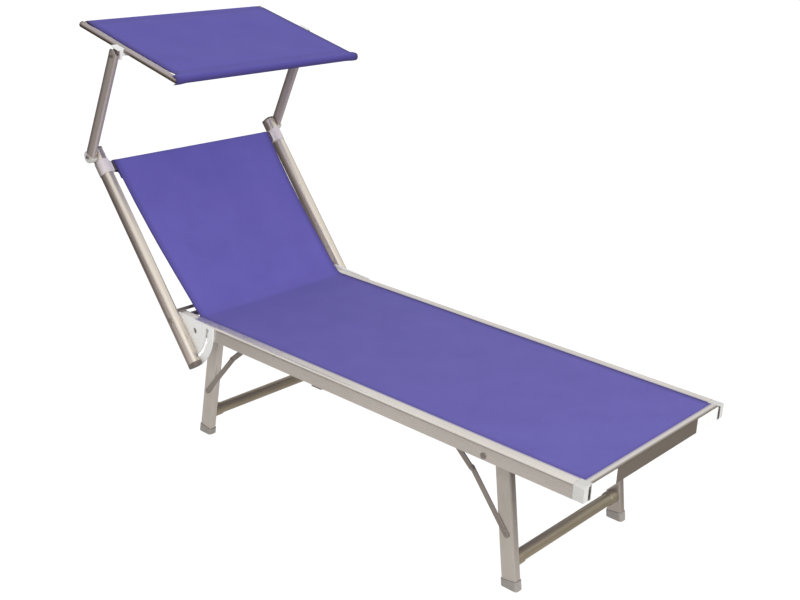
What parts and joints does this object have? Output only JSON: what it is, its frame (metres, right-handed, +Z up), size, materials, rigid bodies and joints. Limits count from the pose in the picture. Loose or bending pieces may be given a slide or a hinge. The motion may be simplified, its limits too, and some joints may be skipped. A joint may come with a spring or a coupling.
{
  "type": "sun lounger with canopy",
  "caption": "Folding sun lounger with a woven sling seat, a reclining backrest and a tilting canopy on side arms.",
  "frame": {"origin": "on the floor, under the middle of the bounding box", "axes": "+Z up, +Y from the foot end to the head end, +X across, to the right of someone looking from foot to head"},
  "size_m": [0.7424, 1.763, 1.166],
  "materials": {
    "aluminium": "satin, lightly brushed",
    "dark_aluminium": "satin, darker",
    "steel": "satin",
    "sling_fabric": "fine plain weave, violet blue",
    "white_plastic": "smooth, off white",
    "grey_plastic": "smooth, light grey",
    "dark_plastic": "smooth, dark grey",
    "foot_plastic": "fine grain, mid grey"
  },
  "bodies": {
    "seat_frame": {"seat_rail_left": "aluminium", "seat_rail_right": "aluminium", "rail_foot_cap_left": "grey_plastic", "rail_foot_cap_right": "grey_plastic", "rail_head_cap_left": "dark_plastic", "rail_head_cap_right": "dark_plastic", "foot_cross_rail": "dark_aluminium", "corner_connector_left": "white_plastic", "corner_connector_right": "white_plastic", "foot_edge_strip": "aluminium", "seat_sling": "sling_fabric", "recline_quadrant_left": "white_plastic", "recline_quadrant_right": "white_plastic", "front_leg_axle": "steel", "rear_leg_axle": "steel", "backrest_axle": "dark_aluminium"},
    "front_legs": {"front_leg_left": "aluminium", "front_leg_right": "aluminium", "front_foot_left": "foot_plastic", "front_foot_right": "foot_plastic", "front_leg_crossbar": "dark_aluminium"},
    "rear_legs": {"rear_leg_left": "aluminium", "rear_leg_right": "aluminium", "rear_foot_left": "foot_plastic", "rear_foot_right": "foot_plastic", "rear_leg_crossbar": "dark_aluminium"},
    "front_stay_lower": {"front_stay_lower_left": "steel", "front_stay_lower_right": "steel"},
    "front_stay_upper": {"front_stay_upper_left": "steel", "front_stay_upper_right": "steel"},
    "rear_stay_lower": {"rear_stay_lower_left": "steel", "rear_stay_lower_right": "steel"},
    "rear_stay_upper": {"rear_stay_upper_left": "steel", "rear_stay_upper_right": "steel"},
    "backrest": {"back_rail_left": "aluminium", "back_rail_right": "aluminium", "back_rail_top_cap_left": "dark_plastic", "back_rail_top_cap_right": "dark_plastic", "back_rail_foot_plug_left": "white_plastic", "back_rail_foot_plug_right": "white_plastic", "back_top_bar": "dark_aluminium", "back_lower_bar": "dark_aluminium", "top_bar_sleeve_left": "white_plastic", "top_bar_sleeve_right": "white_plastic", "back_sling": "sling_fabric", "arm_pivot_bolt_left": "steel", "arm_pivot_bolt_right": "steel"},
    "canopy_arms": {"canopy_arm_left": "aluminium", "canopy_arm_right": "aluminium", "arm_elbow_left": "grey_plastic", "arm_elbow_right": "grey_plastic"},
    "canopy": {"canopy_side_tube_left": "aluminium", "canopy_side_tube_right": "aluminium", "canopy_front_tube": "aluminium", "canopy_back_tube": "aluminium", "canopy_sling": "sling_fabric", "canopy_knuckle_left": "white_plastic", "canopy_knuckle_right": "white_plastic", "canopy_tilt_bolt_left": "steel", "canopy_tilt_bolt_right": "steel"}
  },
  "joints": [
    {"name": "backrest_recline", "type": "hinge", "parent": "seat_frame", "child": "backrest", "pos_m": [0, 0.49246, 0.3799], "axis": [1, 0, 0], "range_deg": [-51, 8]},
    {"name": "canopy_arm_swing", "type": "hinge", "parent": "backrest", "child": "canopy_arms", "pos_m": [0, 0.82537, 0.79101], "axis": [1, 0, 0], "range_deg": [-60, 45]},
    {"name": "canopy_tilt", "type": "hinge", "parent": "canopy_arms", "child": "canopy", "pos_m": [0, 0.69286, 1.09869], "axis": [1, 0, 0], "range_deg": [-60, 60]},
    {"name": "front_leg_fold", "type": "hinge", "parent": "seat_frame", "child": "front_legs", "pos_m": [0, -0.60654, 0.363], "axis": [1, 0, 0], "range_deg": [0, 95]},
    {"name": "rear_leg_fold", "type": "hinge", "parent": "seat_frame", "child": "rear_legs", "pos_m": [0, 0.42146, 0.363], "axis": [-1, 0, 0], "range_deg": [0, 95]},
    {"name": "front_stay_upper_turn", "type": "hinge", "parent": "seat_frame", "child": "front_stay_upper", "pos_m": [0, -0.43154, 0.363], "axis": [1, 0, 0], "range_deg": [-46, 0]},
    {"name": "front_stay_lower_turn", "type": "hinge", "parent": "front_legs", "child": "front_stay_lower", "pos_m": [0, -0.64254, 0.142], "axis": [1, 0, 0], "range_deg": [0, 27]},
    {"name": "rear_stay_upper_turn", "type": "hinge", "parent": "seat_frame", "child": "rear_stay_upper", "pos_m": [0, 0.24646, 0.363], "axis": [-1, 0, 0], "range_deg": [-46, 0]},
    {"name": "rear_stay_lower_turn", "type": "hinge", "parent": "rear_legs", "child": "rear_stay_lower", "pos_m": [0, 0.45746, 0.142], "axis": [-1, 0, 0], "range_deg": [0, 27]}
  ],
  "couplings": [
    {"joint": "front_stay_upper_turn", "follows": "front_leg_fold", "ratio": -0.478},
    {"joint": "front_stay_lower_turn", "follows": "front_leg_fold", "ratio": 0.275},
    {"joint": "rear_stay_upper_turn", "follows": "rear_leg_fold", "ratio": -0.478},
    {"joint": "rear_stay_lower_turn", "follows": "rear_leg_fold", "ratio": 0.275}
  ]
}
